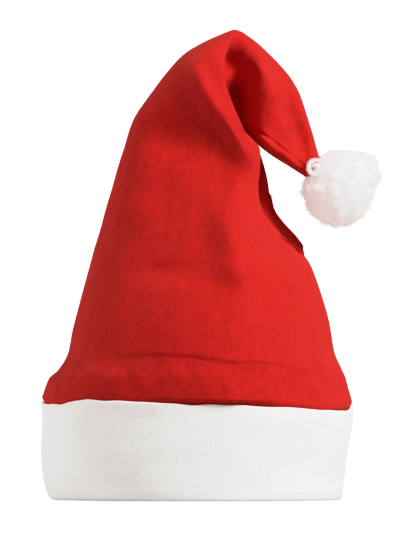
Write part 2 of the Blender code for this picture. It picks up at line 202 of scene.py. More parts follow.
# Sections of the crown, from the band up, over the bend and down to the tip's end. Everywhere below, x is
# a share of the hat's width to the right of its middle, z of the crown's rise above the band, and y of
# half the hat's depth towards the back. outer: the left or upper side. inner: the right or lower side.
# front, back: how far the section reaches either way.
Section = namedtuple("Section", "name outer_x outer_z inner_x inner_z front back")
crown_sections = [
    Section("bulge", -0.496, 0.012, 0.496, 0.012, 0.990, 0.990),
    Section("shoulder", -0.474, 0.064, 0.476, 0.064, 0.984, 0.960),
    Section("flare", -0.440, 0.094, 0.458, 0.094, 0.970, 0.930),
    Section("waist", -0.412, 0.132, 0.440, 0.132, 0.950, 0.900),
    Section("lower", -0.398, 0.194, 0.427, 0.194, 0.908, 0.858),
    Section("body", -0.375, 0.274, 0.401, 0.274, 0.832, 0.788),
    Section("chest", -0.348, 0.354, 0.372, 0.354, 0.745, 0.710),
    Section("valley_end", -0.329, 0.408, 0.350, 0.408, 0.680, 0.655),
    Section("valley_low", -0.315, 0.448, 0.323, 0.448, 0.645, 0.620),
    Section("valley_mid", -0.296, 0.509, 0.258, 0.509, 0.595, 0.565),
    Section("valley_high", -0.276, 0.568, 0.232, 0.568, 0.547, 0.510),
    Section("neck", -0.260, 0.616, 0.216, 0.616, 0.515, 0.475),
    Section("bend_start", -0.236, 0.680, 0.195, 0.678, 0.468, 0.432),
    Section("bend_low", -0.209, 0.752, 0.178, 0.703, 0.430, 0.408),
    Section("bend_mid", -0.129, 0.854, 0.149, 0.731, 0.378, 0.378),
    Section("bend_high", -0.024, 0.943, 0.120, 0.755, 0.340, 0.340),
    Section("lip", 0.110, 0.997, 0.094, 0.777, 0.278, 0.278),
    Section("tuck", 0.123, 0.999, 0.081, 0.785, 0.167, 0.167),
    Section("tip_root", 0.139, 0.995, 0.097, 0.771, 0.144, 0.144),
    Section("tip_swell", 0.174, 0.973, 0.129, 0.745, 0.156, 0.156),
    Section("tip_full", 0.260, 0.902, 0.184, 0.700, 0.222, 0.222),
    Section("tip_mid", 0.327, 0.828, 0.235, 0.663, 0.222, 0.222),
    Section("tip_low", 0.366, 0.739, 0.289, 0.632, 0.167, 0.167),
    Section("tip_end", 0.393, 0.662, 0.347, 0.599, 0.106, 0.106),
]

# Folds, which pull the felt to their points. angle: degrees round a section, 0 at its outer point and 90
# at its front. before, after: degrees over which the pull fades to either side.
Fold = namedtuple("Fold", "name angle before after points")
FoldPoint = namedtuple("FoldPoint", "section x z y")
crown_folds = [
    Fold("lip", 148, 34, 26, [
        FoldPoint("valley_end", 0.312, 0.408, -0.200),
        FoldPoint("valley_low", 0.266, 0.447, -0.278),
        FoldPoint("valley_mid", 0.212, 0.509, -0.325),
        FoldPoint("valley_high", 0.195, 0.568, -0.306),
        FoldPoint("neck", 0.196, 0.616, -0.300),
        FoldPoint("bend_start", 0.187, 0.672, -0.311),
        FoldPoint("bend_low", 0.178, 0.681, -0.328),
        FoldPoint("bend_mid", 0.170, 0.688, -0.344),
        FoldPoint("bend_high", 0.160, 0.698, -0.358),
        FoldPoint("lip", 0.150, 0.712, -0.356),
        FoldPoint("tuck", 0.123, 0.745, -0.189),
    ]),
    Fold("crook", 163, 22, 16, [
        FoldPoint("valley_end", 0.316, 0.408, -0.190),
        FoldPoint("valley_low", 0.260, 0.448, -0.197),
        FoldPoint("valley_mid", 0.211, 0.509, -0.178),
        FoldPoint("valley_high", 0.196, 0.568, -0.159),
        FoldPoint("neck", 0.191, 0.616, -0.151),
    ]),
    Fold("groove", 180, 22, 22, [
        FoldPoint("valley_end", 0.326, 0.408, -0.090),
        FoldPoint("valley_low", 0.266, 0.448, -0.100),
        FoldPoint("valley_mid", 0.204, 0.509, -0.060),
        FoldPoint("valley_high", 0.165, 0.568, -0.022),
        FoldPoint("neck", 0.158, 0.614, -0.011),
        FoldPoint("bend_start", 0.152, 0.670, 0.000),
        FoldPoint("bend_low", 0.136, 0.695, 0.000),
        FoldPoint("bend_mid", 0.117, 0.723, 0.000),
        FoldPoint("bend_high", 0.099, 0.747, 0.000),
        FoldPoint("lip", 0.083, 0.771, 0.000),
        FoldPoint("tuck", 0.078, 0.782, 0.000),
    ]),
    Fold("back", 212, 26, 34, [
        FoldPoint("valley_end", 0.332, 0.408, 0.200),
        FoldPoint("valley_low", 0.300, 0.448, 0.160),
        FoldPoint("valley_mid", 0.238, 0.509, 0.150),
        FoldPoint("valley_high", 0.226, 0.568, 0.144),
        FoldPoint("neck", 0.216, 0.616, 0.156),
        FoldPoint("bend_start", 0.193, 0.675, 0.200),
        FoldPoint("bend_low", 0.181, 0.686, 0.233),
        FoldPoint("bend_mid", 0.168, 0.695, 0.267),
        FoldPoint("bend_high", 0.158, 0.704, 0.281),
        FoldPoint("lip", 0.149, 0.711, 0.278),
        FoldPoint("tuck", 0.123, 0.745, 0.156),
    ]),
    Fold("front_bow", 88, 60, 55, [
        FoldPoint("bend_high", 0.036, 0.860, -0.305),
        FoldPoint("lip", 0.083, 0.885, -0.300),
        FoldPoint("tuck", 0.074, 0.890, -0.111),
        FoldPoint("tip_root", 0.123, 0.889, -0.100),
        FoldPoint("tip_swell", 0.161, 0.868, -0.128),
    ]),
    Fold("back_bow", 272, 55, 60, [
        FoldPoint("bend_high", 0.035, 0.850, 0.275),
        FoldPoint("lip", 0.081, 0.873, 0.256),
        FoldPoint("tuck", 0.085, 0.884, 0.122),
        FoldPoint("tip_root", 0.123, 0.889, 0.117),
        FoldPoint("tip_swell", 0.158, 0.868, 0.144),
    ]),
]

# Soft folds and hollows, along lines that run upwards or to the right. first, last: the sections between
# which the felt takes them. left, right: reach to either side in metres. points: shares x and z, and the
# lift in millimetres, where less than zero is a hollow.
Crease = namedtuple("Crease", "face first last left right points")
FRONT, BACK = 1, -1
crown_creases = [
    # the flap's ridge, and the upright edge where the front turns to the right
    Crease(FRONT, "neck", "lip", 0.010, 0.006, [
        (0.165, 0.646, 0.8), (0.14, 0.67, 1.6), (0.115, 0.707, 2.0), (0.086, 0.746, 2.0),
        (0.052, 0.786, 2.0), (0.024, 0.825, 2.0), (-0.004, 0.873, 2.0), (-0.01, 0.90, 0.6),
    ]),
    Crease(FRONT, "flare", "neck", 0.016, 0.012, [
        (0.19, 0.11, 1.5), (0.155, 0.24, 2.5), (0.12, 0.355, 2.5), (0.085, 0.46, 2.5), (0.095, 0.51, 2.0),
        (0.125, 0.56, 1.0),
    ]),
    Crease(FRONT, "bulge", "body", 0.055, 0.038, [
        (0.10, 0.00, 4.5), (0.10, 0.11, 4.5), (0.11, 0.24, 1.5), (0.12, 0.30, 0.0),
    ]),
    # the tip's lower edge, and the sunk line of its seam
    Crease(FRONT, "tip_root", "tip_end", 0.002, 0.005, [
        (0.325, 0.615, 1.2), (0.295, 0.635, 1.2), (0.27, 0.65, 1.2), (0.235, 0.67, 1.2),
        (0.205, 0.69, 1.2), (0.175, 0.71, 1.2), (0.155, 0.725, 0.8),
    ]),
    Crease(FRONT, "tip_root", "tip_end", 0.0024, 0.0016, [
        (0.335, 0.635, -0.8), (0.30, 0.655, -1.4), (0.27, 0.675, -1.6), (0.24, 0.693, -1.6),
        (0.21, 0.710, -1.6), (0.18, 0.728, -1.4), (0.16, 0.745, -1.0),
    ]),
    # the back, which the photograph does not show
    Crease(BACK, "valley_high", "lip", 0.022, 0.018, [
        (-0.15, 0.755, -2.0), (-0.02, 0.72, -4.0), (0.12, 0.69, -3.0),
    ]),
    Crease(BACK, "flare", "neck", 0.028, 0.028, [
        (-0.04, 0.17, 1.5), (-0.02, 0.39, 3.5), (0.01, 0.61, 2.0),
    ]),
]

# How far forward the felt stands along the lines of its front, which it follows smoothly from one line to
# the next. points: shares x and z, and millimetres before the hat's middle.
DepthLine = namedtuple("DepthLine", "name points")
body_lines = [
    DepthLine("crest", [(-0.09, 0.86, 25), (-0.04, 0.90, 29), (0.01, 0.90, 37.5), (0.05, 0.90, 38)]),
    DepthLine("beside_lip", [
        (0.04, 0.87, 40.5), (0.06, 0.86, 40), (0.06, 0.82, 42.5), (0.08, 0.82, 40.5), (0.09, 0.78, 43),
        (0.105, 0.78, 41.5),
    ]),
    DepthLine("flap_ridge", [
        (0.00, 0.87, 42.5), (0.02, 0.83, 44), (0.05, 0.79, 45), (0.085, 0.75, 45), (0.115, 0.71, 44.3),
        (0.14, 0.67, 43.5), (0.165, 0.65, 42),
    ]),
    DepthLine("flap_upper", [
        (-0.09, 0.82, 32), (-0.04, 0.86, 37.5), (-0.04, 0.82, 38.5), (0.00, 0.79, 42),
    ]),
    DepthLine("flap_middle", [
        (-0.18, 0.77, 21), (-0.155, 0.77, 26), (-0.13, 0.77, 29), (-0.09, 0.77, 33), (-0.04, 0.77, 37),
        (0.01, 0.765, 41.2),
    ]),
    DepthLine("flap_low", [
        (-0.18, 0.72, 25), (-0.13, 0.72, 29), (-0.09, 0.72, 31), (-0.04, 0.72, 34), (0.01, 0.72, 37.7),
        (0.06, 0.72, 41.5),
    ]),
    DepthLine("hollow", [
        (-0.18, 0.67, 30), (-0.13, 0.67, 32.8), (-0.09, 0.67, 33.8), (-0.04, 0.67, 35), (0.01, 0.667, 36.6),
        (0.06, 0.665, 38.8), (0.10, 0.66, 41),
    ]),
    DepthLine("hollow_foot", [
        (-0.13, 0.635, 36.5), (-0.09, 0.635, 37.5), (-0.04, 0.635, 38.2), (0.01, 0.635, 38.8),
        (0.06, 0.63, 39.8), (0.10, 0.625, 40.8), (0.15, 0.62, 41.2),
    ]),
    DepthLine("under_flap", [
        (-0.18, 0.59, 36.5), (-0.09, 0.59, 41), (0.01, 0.59, 43), (0.06, 0.585, 43.8), (0.10, 0.58, 44.2),
        (0.15, 0.58, 41.5),
    ]),
    DepthLine("chest_top", [
        (-0.18, 0.54, 40.5), (-0.09, 0.54, 44.5), (0.01, 0.54, 48), (0.06, 0.535, 49.5), (0.10, 0.53, 50),
        (0.15, 0.54, 45),
    ]),
    DepthLine("chest", [
        (-0.09, 0.48, 51), (0.01, 0.48, 55), (0.06, 0.48, 57.5), (0.09, 0.48, 59), (0.12, 0.48, 57.5),
        (0.16, 0.49, 50),
    ]),
    DepthLine("body", [
        (-0.09, 0.41, 58), (0.01, 0.41, 61.8), (0.06, 0.41, 64.8), (0.11, 0.41, 67), (0.16, 0.41, 62),
    ]),
    DepthLine("foot", [
        (-0.13, 0.32, 61.5), (-0.09, 0.32, 64), (-0.04, 0.32, 67.5), (0.02, 0.32, 71.5), (0.12, 0.32, 75.5),
        (0.19, 0.32, 67.5),
    ]),
]
tip_lines = [
    DepthLine("pocket_floor", [
        (0.095, 0.91, 3), (0.115, 0.91, 4), (0.10, 0.86, 9), (0.125, 0.84, -1), (0.13, 0.79, 1),
    ]),
    DepthLine("pocket_wall", [(0.135, 0.91, 7.5), (0.14, 0.84, 1.5), (0.148, 0.79, 4.5)]),
    DepthLine("pocket_rise", [(0.15, 0.91, 12), (0.155, 0.84, 8.5), (0.16, 0.79, 10.5), (0.18, 0.735, 17)]),
    DepthLine("pocket_brow", [(0.165, 0.91, 16), (0.17, 0.84, 17), (0.175, 0.79, 17)]),
    DepthLine("tip_rise", [
        (0.18, 0.91, 19.5), (0.185, 0.84, 21.5), (0.19, 0.79, 20.5), (0.195, 0.735, 20.5),
    ]),
    DepthLine("tip_ridge", [
        (0.205, 0.90, 24), (0.22, 0.885, 23), (0.205, 0.84, 24), (0.21, 0.79, 23), (0.215, 0.735, 22),
    ]),
    DepthLine("tip_face", [
        (0.23, 0.89, 16), (0.245, 0.855, 19), (0.25, 0.82, 21.5), (0.25, 0.77, 21), (0.25, 0.72, 21.5),
        (0.25, 0.68, 21.5),
    ]),
    DepthLine("tip_outer", [
        (0.28, 0.82, 14), (0.295, 0.77, 13), (0.29, 0.72, 15.5), (0.32, 0.72, 8), (0.335, 0.68, 9),
    ]),
    DepthLine("tip_foot", [
        (0.21, 0.685, 22), (0.24, 0.67, 21), (0.27, 0.655, 20), (0.295, 0.675, 16.5), (0.30, 0.635, 18),
        (0.335, 0.645, 12),
    ]),
]

# Places where the folds meet and the felt eases its way round: how far beyond a section, how many sections
# and degrees the easing reaches, and how often it is repeated.
SoftSpot = namedtuple("SoftSpot", "section beyond sections angle spread rounds")
soft_spots = [
    SoftSpot("bend_mid", 1.2, 1.4, 141, 11, 40),
    SoftSpot("valley_mid", 0.8, 1.5, 200, 15, 45),
    SoftSpot("valley_end", 0.1, 0.6, 185, 20, 20),
]

# The crease at the waist, from the left side to the right. groove: its depth in millimetres. It rises
# sharply above its deepest line and slowly below.
waist_above = 0.0014
waist_below = 0.0120
WaistPoint = namedtuple("WaistPoint", "x z groove")
waist_points = [
    WaistPoint(-0.44, 0.104, 0.2), WaistPoint(-0.27, 0.111, 0.3), WaistPoint(-0.23, 0.113, 0.8),
    WaistPoint(-0.13, 0.116, 1.1), WaistPoint(0.00, 0.111, 1.1), WaistPoint(0.045, 0.103, 1.2),
    WaistPoint(0.11, 0.095, 1.1), WaistPoint(0.18, 0.096, 1.0), WaistPoint(0.24, 0.092, 0.9),
    WaistPoint(0.285, 0.082, 0.7), WaistPoint(0.38, 0.064, 0.4), WaistPoint(0.45, 0.060, 0.3),
]

# Waves all over the felt: their length, seed and height, and how much they are drawn out upwards.
Wave = namedtuple("Wave", "size seed height drawn")
crown_waves = [Wave(0.075, 3, 0.00045, 1.0), Wave(0.028, 4, 0.00016, 1.0), Wave(0.016, 5, 0.00010, 0.25)]

# Small wrinkles just above the band, where the seam gathers the felt: as above, with their height over
# the band and how far they reach up and down from it.
gathers = Wave(0.013, 7, 0.00036, 1.0)
gathers_height = 0.012
gathers_reach = 0.013

# Height of the band's cut edge in metres, in degrees round the hat from its left end by way of the front.
EdgePoint = namedtuple("EdgePoint", "angle height")
edge_points = [
    EdgePoint(0, 0.0610), EdgePoint(20, 0.0587), EdgePoint(30, 0.0588), EdgePoint(42, 0.0609),
    EdgePoint(58, 0.0607), EdgePoint(72, 0.0590), EdgePoint(91, 0.0578), EdgePoint(113, 0.0572),
    EdgePoint(128, 0.0560), EdgePoint(145, 0.0545), EdgePoint(160, 0.0550), EdgePoint(180, 0.0584),
    EdgePoint(205, 0.0570), EdgePoint(250, 0.0582), EdgePoint(295, 0.0608), EdgePoint(330, 0.0618),
    EdgePoint(360, 0.0610),
]

# The band's outer face. z: share of its height; left, right: of the hat's width; depth: of half its depth.
BandSection = namedtuple("BandSection", "z left right depth")
band_sections = [
    BandSection(0.00, -0.470, 0.462, 0.950),
    BandSection(0.10, -0.480, 0.470, 0.965),
    BandSection(0.25, -0.490, 0.475, 0.975),
    BandSection(0.50, -0.500, 0.486, 0.990),
    BandSection(0.80, -0.500, 0.498, 1.000),
    BandSection(1.06, -0.500, 0.500, 1.000),
]


def between(values, places):
    """Reads a table of values at fractional rows, as a smooth curve that never overshoots a row."""
    values = np.asarray(values, float)
    steps = np.diff(values, axis=0)
    slopes = np.zeros_like(values)
    before, after = steps[:-1], steps[1:]
    total = np.where(before * after > 0, before + after, 1.0)
    slopes[1:-1] = np.where(before * after > 0, 2 * before * after / total, 0.0)
    slopes[0], slopes[-1] = steps[0], steps[-1]
    row = np.clip(np.floor(places).astype(int), 0, len(values) - 2)
    t = (places - row).reshape(places.shape + (1,) * (values.ndim - 1))
    start = (2 * t**3 - 3 * t**2 + 1) * values[row] + (t**3 - 2 * t**2 + t) * slopes[row]
    end = (3 * t**2 - 2 * t**3) * values[row + 1] + (t**3 - t**2) * slopes[row + 1]
    return start + end


def crowded_angles(count, crowding):
    """Angles round a section, closer together on the inner side, where the folds are."""
    steps = np.arange(count) / count * 2 * math.pi
    return steps + crowding * np.sin(steps)


def oval(outer, inner, front, back, angles):
    """Points of one section: angle 0 is its outer point, a quarter turn is its front."""
    across = ((1 - np.cos(angles)) / 2)[:, None]
    sine = np.sin(angles)
    bulge = np.sign(sine) * np.abs(sine) ** roundness
    points = outer + (inner - outer) * across
    points[:, 1] += np.where(bulge > 0, front, back) * -bulge
    return points


def share_point(x, z, y=0.0):
    """A place in metres from the tables' shares."""
    return np.array([crown_middle + x * hat_width, y * half_depth, band_height + z * crown_rise])


def edge_height(angles):
    """Height of the band's top edge round the hat."""
    degrees = np.degrees(angles) % 360
    row = np.interp(degrees, [point.angle for point in edge_points], np.arange(len(edge_points)))
    return between([point.height for point in edge_points], row)


def band_points(heights, inset, angles):
    """Points on the band's outer face, moved inwards by inset, at one height for each angle."""
    table_z = [section.z * band_height for section in band_sections]
    left = np.interp(heights, table_z, [section.left * hat_width for section in band_sections])
    right = np.interp(heights, table_z, [section.right * hat_width for section in band_sections])
    depth = np.interp(heights, table_z, [section.depth * half_depth for section in band_sections])
    sine = np.sin(angles)
    bulge = np.sign(sine) * np.abs(sine) ** roundness
    x = crown_middle + left + inset + (right - left - 2 * inset) * (1 - np.cos(angles)) / 2
    return np.stack([x, -(depth - inset) * bulge, heights], axis=1)


def grid_normals(grid):
    """Outward directions on a grid of rows that close on themselves."""
    around = np.roll(grid, -1, axis=1) - np.roll(grid, 1, axis=1)
    along = np.gradient(grid, axis=0)
    normals = np.cross(along, around)
    normals /= np.linalg.norm(normals, axis=2, keepdims=True) + 1e-12
    outward = np.einsum("ij,ij->i", normals[0], grid[0] - grid[0].mean(axis=0)).mean()
    return normals if outward > 0 else -normals


def ripple(points, size, seed, waves=28):
    """A smooth random height for each point, about one in amount, from waves in many directions."""
    chance = np.random.default_rng(seed)
    height = np.zeros(points.shape[:-1])
    for _ in range(waves):
        direction = chance.normal(size=3)
        direction *= 2 * math.pi / (np.linalg.norm(direction) * size * chance.uniform(0.7, 1.7))
        height += np.sin(points @ direction + chance.uniform(0, 2 * math.pi))
    return height / math.sqrt(waves / 2)


def worked_part(places, angles, face, first, last):
    """How much of a change each row and each column takes: all between two sections and on one face."""
    names = [section.name for section in crown_sections]
    rows = np.clip(places - names.index(first) + 1, 0, 1) * np.clip(names.index(last) + 1 - places, 0, 1)
    side_fade = 0.3
    return rows, np.clip(face * np.sin(angles) / side_fade, 0, 1)


def settle_front(grid, places, angles, lines, first, last, reach):
    """Moves the front of a grid to the depths of the lines, and less and less beyond them."""
    kept, side = worked_part(places, angles, FRONT, first, last)
    outside = np.where((kept > 0.5)[:, None] & (side > 0.5)[None, :], 0, 1.0)
    marks = [point for line in lines for point in line.points]
    spots = np.array([share_point(x, z)[[0, 2]] for x, z, _ in marks])
    missing = []
    for spot, (_, _, depth) in zip(spots, marks):
        away = np.hypot(grid[..., 0] - spot[0], grid[..., 2] - spot[1]) + outside
        nearest = np.unravel_index(np.argmin(away), away.shape)
        missing.append(depth / 1000 + grid[nearest][1])
    apart = np.hypot(*(spots[:, None] - spots[None]).transpose(2, 0, 1))
    # Marks that lie close together may miss their depths a little, so that the felt stays smooth.
    evening = 0.02 * np.eye(len(marks))
    weights = np.linalg.solve(np.exp(-((apart / reach) ** 2)) + evening, missing)
    push = np.zeros(grid.shape[:2])
    for spot, weight in zip(spots, weights):
        away = (grid[..., 0] - spot[0]) ** 2 + (grid[..., 2] - spot[1]) ** 2
        push += weight * np.exp(-away / reach**2)
    grid[..., 1] -= push * (kept**2 * (3 - 2 * kept))[:, None] * side[None, :]


def crease_push(grid, places, angles):
    """How far the creases push each point of a grid outwards, front or back."""
    softness = 0.06
    far = math.sqrt(1 + softness**2)
    push = np.zeros(grid.shape[:2])
    for crease in crown_creases:
        kept, side = worked_part(places, angles, crease.face, crease.first, crease.last)
        nearest = np.full(grid.shape[:2], np.inf)
        reach, lift = np.ones(grid.shape[:2]), np.zeros(grid.shape[:2])
        ends = [(share_point(x, z)[[0, 2]], height / 1000) for x, z, height in crease.points]
        for (start, low_lift), (end, high_lift) in zip(ends, ends[1:]):
            line = end - start
            away = grid[..., [0, 2]] - start
            along = np.clip(away @ line / (line @ line), 0, 1)
            offset = away - along[..., None] * line
            distance = np.hypot(offset[..., 0], offset[..., 1])
            turned = line[0] * away[..., 1] - line[1] * away[..., 0] > 0
            closer = distance < nearest
            nearest = np.where(closer, distance, nearest)
            reach = np.where(closer, np.where(turned, crease.left, crease.right), reach)
            lift = np.where(closer, low_lift + (high_lift - low_lift) * along, lift)
        share = np.clip(nearest / reach, 0, 1)
        tent = np.clip((far - np.sqrt(share**2 + softness**2)) / (far - softness), 0, 1)
        push += tent**1.2 * lift * (kept**2 * (3 - 2 * kept))[:, None] * side[None, :]
    return push


def crown_skin(places, angles):
    """Outer skin of the crown above the band, at fractional rows of its sections."""
    names = [section.name for section in crown_sections]
    outer = np.array([share_point(section.outer_x, section.outer_z) for section in crown_sections])
    inner = np.array([share_point(section.inner_x, section.inner_z) for section in crown_sections])
    front = np.array([section.front * half_depth for section in crown_sections])
    back = np.array([section.back * half_depth for section in crown_sections])
    shifts = []
    for fold in crown_folds:
        shift = np.zeros((len(crown_sections), 3))
        angle = np.array([math.radians(fold.angle)])
        for point in fold.points:
            row = names.index(point.section)
            plain = oval(outer[row], inner[row], front[row], back[row], angle)[0]
            shift[row] = share_point(point.x, point.z, point.y) - plain
        away = angles - angle
        width = np.where(away < 0, math.radians(fold.before), math.radians(fold.after))
        pull = np.cos(np.clip(np.abs(away) / width, 0, 1) * math.pi / 2) ** 2
        shifts.append((pull, between(shift, places)))
    outer, inner = between(outer, places), between(inner, places)
    front, back = between(front, places), between(back, places)
    rows = []
    for row in range(len(places)):
        points = oval(outer[row], inner[row], front[row], back[row], angles)
        for pull, shift in shifts:
            points = points + pull[:, None] * shift[row]
        rows.append(points)
    return np.array(rows)


def mesh_piece(name, points, faces, material):
    """A smooth plain mesh with one material, in the scene."""
    mesh = bpy.data.meshes.new(name)
    mesh.from_pydata(np.asarray(points).tolist(), [], faces)
    mesh.materials.append(material)
    mesh.update()
    mesh.shade_smooth()
    item = bpy.data.objects.new(name, mesh)
    bpy.context.collection.objects.link(item)
    return item


def tube_faces(rows, columns, first=0, inward=False):
    """Four-sided faces of a tube of rows, wound so that they face out, or in."""
    faces = []
    for row in range(rows - 1):
        for column in range(columns):
            beside = (column + 1) % columns
            low = first + row * columns
            face = (low + column, low + beside, low + columns + beside, low + columns + column)
            faces.append(face[::-1] if inward else face)
    return faces


def felt_material(name, colour, dark, speck, sheen, sheen_tint):
    """Pressed felt: cloudy colour, short matted fibres drawn out upwards, pale flecks and a dull sheen."""
    material, shader, add, links = new_material(name)
    matting_share, streak_share, cloud_share = 0.50, 0.28, 0.22
    place = add("ShaderNodeTexCoord")
    cloud = add("ShaderNodeTexNoise", Scale=46.0, Detail=4.0, Roughness=0.62)
    matting = add("ShaderNodeTexNoise", Scale=330.0, Detail=6.0, Roughness=0.72)
    fibre = add("ShaderNodeTexNoise", Scale=1500.0, Detail=4.0, Roughness=0.7)
    stretch = add("ShaderNodeMapping")
    stretch.inputs["Scale"].default_value = (1.0, 1.0, 0.35)
    streak = add("ShaderNodeTexNoise", Scale=210.0, Detail=5.0, Roughness=0.68)
    for node in (cloud, matting, fibre):
        links.new(place.outputs["Object"], node.inputs["Vector"])
    links.new(place.outputs["Object"], stretch.inputs["Vector"])
    links.new(stretch.outputs["Vector"], streak.inputs["Vector"])
    cloud_range = add("ShaderNodeMapRange", From_Min=0.34, From_Max=0.66)
    matting_range = add("ShaderNodeMapRange", From_Min=0.34, From_Max=0.64)
    streak_range = add("ShaderNodeMapRange", From_Min=0.36, From_Max=0.62)
    links.new(cloud.outputs["Fac"], cloud_range.inputs["Value"])
    links.new(matting.outputs["Fac"], matting_range.inputs["Value"])
    links.new(streak.outputs["Fac"], streak_range.inputs["Value"])
    blend = add("ShaderNodeMath", operation="MULTIPLY_ADD")
    links.new(matting_range.outputs["Result"], blend.inputs[0])
    blend.inputs[1].default_value = matting_share
    weight = add("ShaderNodeMath", operation="MULTIPLY")
    links.new(cloud_range.outputs["Result"], weight.inputs[0])
    weight.inputs[1].default_value = cloud_share
    links.new(weight.outputs["Value"], blend.inputs[2])
    total = add("ShaderNodeMath", operation="MULTIPLY_ADD")
    links.new(streak_range.outputs["Result"], total.inputs[0])
    total.inputs[1].default_value = streak_share
    links.new(blend.outputs["Value"], total.inputs[2])
    tone = add("ShaderNodeMix", data_type="RGBA")
    tone.inputs["A"].default_value = (*dark, 1)
    tone.inputs["B"].default_value = (*colour, 1)
    links.new(total.outputs["Value"], tone.inputs["Factor"])
    fleck = add("ShaderNodeMapRange", From_Min=0.60, From_Max=0.74)
    links.new(fibre.outputs["Fac"], fleck.inputs["Value"])
    pick = add("ShaderNodeMix", data_type="RGBA")
    pick.inputs["B"].default_value = (*speck, 1)
    links.new(tone.outputs["Result"], pick.inputs["A"])
    links.new(fleck.outputs["Result"], pick.inputs["Factor"])
    links.new(pick.outputs["Result"], shader.inputs["Base Color"])
    shader.inputs["Roughness"].default_value = 0.93
    shader.inputs["Specular IOR Level"].default_value = 0.12
    shader.inputs["Sheen Weight"].default_value = sheen
    shader.inputs["Sheen Roughness"].default_value = 0.55
    shader.inputs["Sheen Tint"].default_value = (*sheen_tint, 1)
    coarse = add("ShaderNodeBump", Strength=0.55, Distance=0.0009)
    fine = add("ShaderNodeBump", Strength=0.50, Distance=0.00035)
    links.new(total.outputs["Value"], coarse.inputs["Height"])
    links.new(fibre.outputs["Fac"], fine.inputs["Height"])
    links.new(coarse.outputs["Normal"], fine.inputs["Normal"])
    links.new(fine.outputs["Normal"], shader.inputs["Normal"])
    return material


red_felt = felt_material(
    "red_felt",
    colour=(0.53, 0.0088, 0.0058),
    dark=(0.34, 0.0046, 0.0038),
    speck=(0.60, 0.022, 0.014),
    sheen=0.05,
    sheen_tint=(1.0, 0.30, 0.20),
)

crown_columns = 280
rows_per_section = 11
crown_angles = crowded_angles(crown_columns, 0.40)
crown_edge = edge_height(crown_angles)
mid_hem = 0.8


def held_rows(inset, heights):
    """Rows of the crown's hem, between the band's plies."""
    return np.array([band_points(height, inset, crown_angles) for height in heights])


# The outer skin: hem, the turn over the band's edge, then the sections, which follow the edge's waves for
# the first two. It is settled to its depths, creased and eased.
crown_places = np.arange(0, (len(crown_sections) - 1) * rows_per_section + 1) / rows_per_section
crown_upper = crown_skin(crown_places, crown_angles)
hem = np.full(crown_columns, hem_height)
hem_rows = held_rows(ply + gap, [hem, crown_edge * mid_hem, crown_edge + gap])
turned_out = held_rows(ply / 2, [crown_edge + gap + ply / 2])
free = np.clip(crown_places / 2, 0, 1)[:, None]
crown_upper[..., 2] += (1 - free) * (crown_edge - band_height)[None, :]
settle_front(crown_upper, crown_places, crown_angles, body_lines, "chest", "lip", 0.0125)
settle_front(crown_upper, crown_places, crown_angles, tip_lines, "tuck", "tip_low", 0.0075)
push = crease_push(crown_upper, crown_places, crown_angles)
crown_upper[..., 1] -= push * np.sign(np.sin(crown_angles))
ease_share = 0.8
for spot in soft_spots:
    middle = [section.name for section in crown_sections].index(spot.section) + spot.beyond
    near_row = np.exp(-(((crown_places - middle) / spot.sections) ** 2))
    near_angle = np.exp(-(((np.degrees(crown_angles) - spot.angle) / spot.spread) ** 2))
    easing = ease_share * near_row[:, None, None] * near_angle[None, :, None]
    for _ in range(spot.rounds):
        beside = (np.roll(crown_upper, 1, axis=1) + np.roll(crown_upper, -1, axis=1)) / 2
        along = crown_upper.copy()
        along[1:-1] = (crown_upper[:-2] + crown_upper[2:]) / 2
        crown_upper += easing * ((beside + along) / 2 - crown_upper)

# The crease at the waist, the gathers over the band and the waves, all along the felt's own normals.
across = (crown_upper[..., 0] - crown_middle) / hat_width
waist_x = [point.x for point in waist_points]
waist = band_height + crown_rise * np.interp(across, waist_x, [point.z for point in waist_points])
groove = np.interp(across, waist_x, [point.groove / 1000 for point in waist_points])
above = crown_upper[..., 2] - waist
lift = -groove * np.exp(-((above / np.where(above > 0, waist_above, waist_below)) ** 2))
over_band = crown_upper[..., 2] - band_height - gathers_height
gathered = np.exp(-((over_band / gathers_reach) ** 2))
lift += ripple(crown_upper, gathers.size, gathers.seed) * gathers.height * gathered
for wave in crown_waves:
    stretched = crown_upper * np.array([1.0, 1.0, wave.drawn])
    lift += ripple(stretched, wave.size, wave.seed) * wave.height * free
crown_upper = crown_upper + grid_normals(crown_upper) * lift[..., None]
crown_outer = np.concatenate([hem_rows, turned_out, crown_upper])

# The tip closes inside the pompom. reach: share of the cap's length. width: share of the tip's end.
cap_length = 0.009
CapRow = namedtuple("CapRow", "reach width")
cap_rows = [CapRow(0.4, 0.90), CapRow(0.7, 0.72), CapRow(0.9, 0.48), CapRow(1.0, 0.20)]
last = crown_outer[-1]
tip_middle = last.mean(axis=0)
pompom_low, pompom_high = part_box("pompom")
pompom_middle = (pompom_low + pompom_high) / 2
into_pompom = np.array(pompom_middle) - tip_middle
into_pompom[1] = 0
into_pompom /= np.linalg.norm(into_pompom)
cap = [
    tip_middle + (last - tip_middle) * row.width + into_pompom * cap_length * row.reach
    for row in cap_rows
]
crown_outer = np.concatenate([crown_outer, np.array(cap)])

